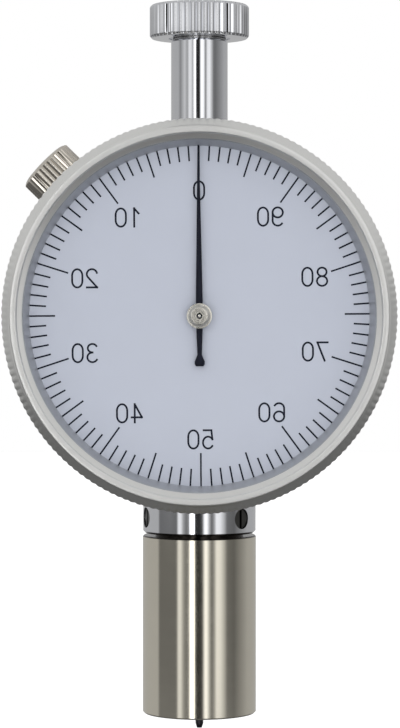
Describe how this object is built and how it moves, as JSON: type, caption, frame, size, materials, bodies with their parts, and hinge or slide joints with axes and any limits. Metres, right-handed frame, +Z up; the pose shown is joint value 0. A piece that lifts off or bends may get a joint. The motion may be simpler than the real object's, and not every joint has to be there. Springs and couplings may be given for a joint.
{
  "type": "dial hardness tester",
  "caption": "Pocket hardness tester for rubber: sprung indenter in a presser foot, rack and gears to one pointer, and a knurled dial bezel that turns and clamps",
  "frame": {"origin": "centre of the presser foot's lower face, on the axis of the stem and spindle", "axes": "+Z up along the stem, the dial faces -Y, +X to the reader's right"},
  "size_m": [0.0612, 0.025, 0.115],
  "materials": {
    "case_satin": "satin chrome plated die casting",
    "bezel_satin": "satin plated, fine turned",
    "chrome_bar": "bright chrome plate on turned steel",
    "foot_steel": "turned stainless steel, faint warm tint",
    "hub_nickel": "nickel plate",
    "steel": "ground steel",
    "dark_steel": "hardened, dark",
    "spring_steel": "drawn spring wire",
    "screw_steel": "black oxide",
    "bearing_brass": "turned",
    "plate_brass": "milled plate",
    "gear_brass": "cut and polished",
    "crystal_glass": "clear flat glass",
    "dial_paint": "pale blue-grey matt paint",
    "pointer_black": "blue-black matt paint"
  },
  "bodies": {
    "case_body": {"case": "case_satin", "back_cover": "case_satin", "back_cover_screws": "screw_steel", "stem": "chrome_bar", "upper_bush": "bearing_brass", "foot": "foot_steel", "nose_bush": "bearing_brass", "spring_adjuster": "bearing_brass", "collar": "chrome_bar", "collar_screws": "screw_steel", "main_spring": "spring_steel", "main_plate": "plate_brass", "main_plate_screws": "screw_steel", "plate_pillars": "steel", "front_plate": "plate_brass", "front_plate_screws": "screw_steel", "rear_cock": "plate_brass", "cock_posts": "steel", "cock_screws": "screw_steel", "bearing_bushes": "bearing_brass", "guide_fork": "bearing_brass", "guide_fork_screws": "screw_steel", "hairspring": "spring_steel", "hairspring_stud": "steel", "bezel_ring": "spring_steel"},
    "bezel_body": {"bezel": "bezel_satin", "crystal": "crystal_glass", "spacer_ring": "bezel_satin", "dial_plate": "dial_paint", "dial_carrier": "bezel_satin"},
    "spindle_body": {"spindle": "steel", "indenter": "dark_steel", "spring_seat": "steel", "guide_pin": "steel"},
    "pointer_body": {"centre_arbor": "steel", "pointer": "pointer_black", "pointer_hub": "hub_nickel"},
    "main_wheel_body": {"rack_arbor": "steel", "main_wheel": "gear_brass"},
    "hairspring_wheel_body": {"hairspring_arbor": "steel", "hairspring_wheel": "gear_brass", "hairspring_collet": "gear_brass"},
    "clamp_shoe_body": {"clamp_shoe": "bearing_brass"},
    "clamp_knob_body": {"clamp_knob": "hub_nickel"},
    "washer_body": {"knob_washer": "steel"},
    "top_knob_body": {"top_knob": "chrome_bar", "knob_stud": "steel"}
  },
  "joints": [
    {"name": "spindle_slide", "type": "slide", "parent": "case_body", "child": "spindle_body", "axis": [0, 0, 1], "range_m": [0, 0.0025], "stiffness_N_per_m": 3000, "springref_m": -0.00018, "deforming": ["main_spring"]},
    {"name": "pointer_turn", "type": "hinge", "parent": "case_body", "child": "pointer_body", "pos_m": [0, 0, 0.063], "axis": [0, -1, 0], "range_deg": [0, 360]},
    {"name": "main_wheel_turn", "type": "hinge", "parent": "case_body", "child": "main_wheel_body", "pos_m": [0.00309, 0, 0.05349], "axis": [0, 1, 0], "range_deg": [0, 90]},
    {"name": "hairspring_wheel_turn", "type": "hinge", "parent": "case_body", "child": "hairspring_wheel_body", "pos_m": [-0.00985, 0, 0.06474], "axis": [0, 1, 0], "range_deg": [0, 90]},
    {"name": "bezel_turn", "type": "hinge", "parent": "case_body", "child": "bezel_body", "pos_m": [0, 0, 0.063], "axis": [0, -1, 0], "continuous": true},
    {"name": "clamp_travel", "type": "slide", "parent": "case_body", "child": "clamp_shoe_body", "axis": [-0.7145, 0, 0.6997], "range_m": [0, 0.0005]},
    {"name": "clamp_turn", "type": "hinge", "parent": "clamp_shoe_body", "child": "clamp_knob_body", "pos_m": [-0.02143, -0.0046, 0.08399], "axis": [-0.7145, 0, 0.6997], "range_deg": [0, 360]},
    {"name": "knob_rise", "type": "slide", "parent": "case_body", "child": "washer_body", "axis": [0, 0, 1], "range_m": [0, 0.0064]},
    {"name": "knob_turn", "type": "hinge", "parent": "washer_body", "child": "top_knob_body", "pos_m": [0, 0, 0.107], "axis": [0, 0, 1], "range_deg": [0, 2880]}
  ],
  "couplings": [
    {"joint": "pointer_turn", "follows": "spindle_slide", "rad_per_m": 2513.3},
    {"joint": "main_wheel_turn", "follows": "spindle_slide", "rad_per_m": 628.32},
    {"joint": "hairspring_wheel_turn", "follows": "spindle_slide", "rad_per_m": 628.32},
    {"joint": "clamp_turn", "follows": "clamp_travel", "rad_per_m": 12566},
    {"joint": "knob_rise", "follows": "knob_turn", "m_per_rad": 0.00012732}
  ]
}
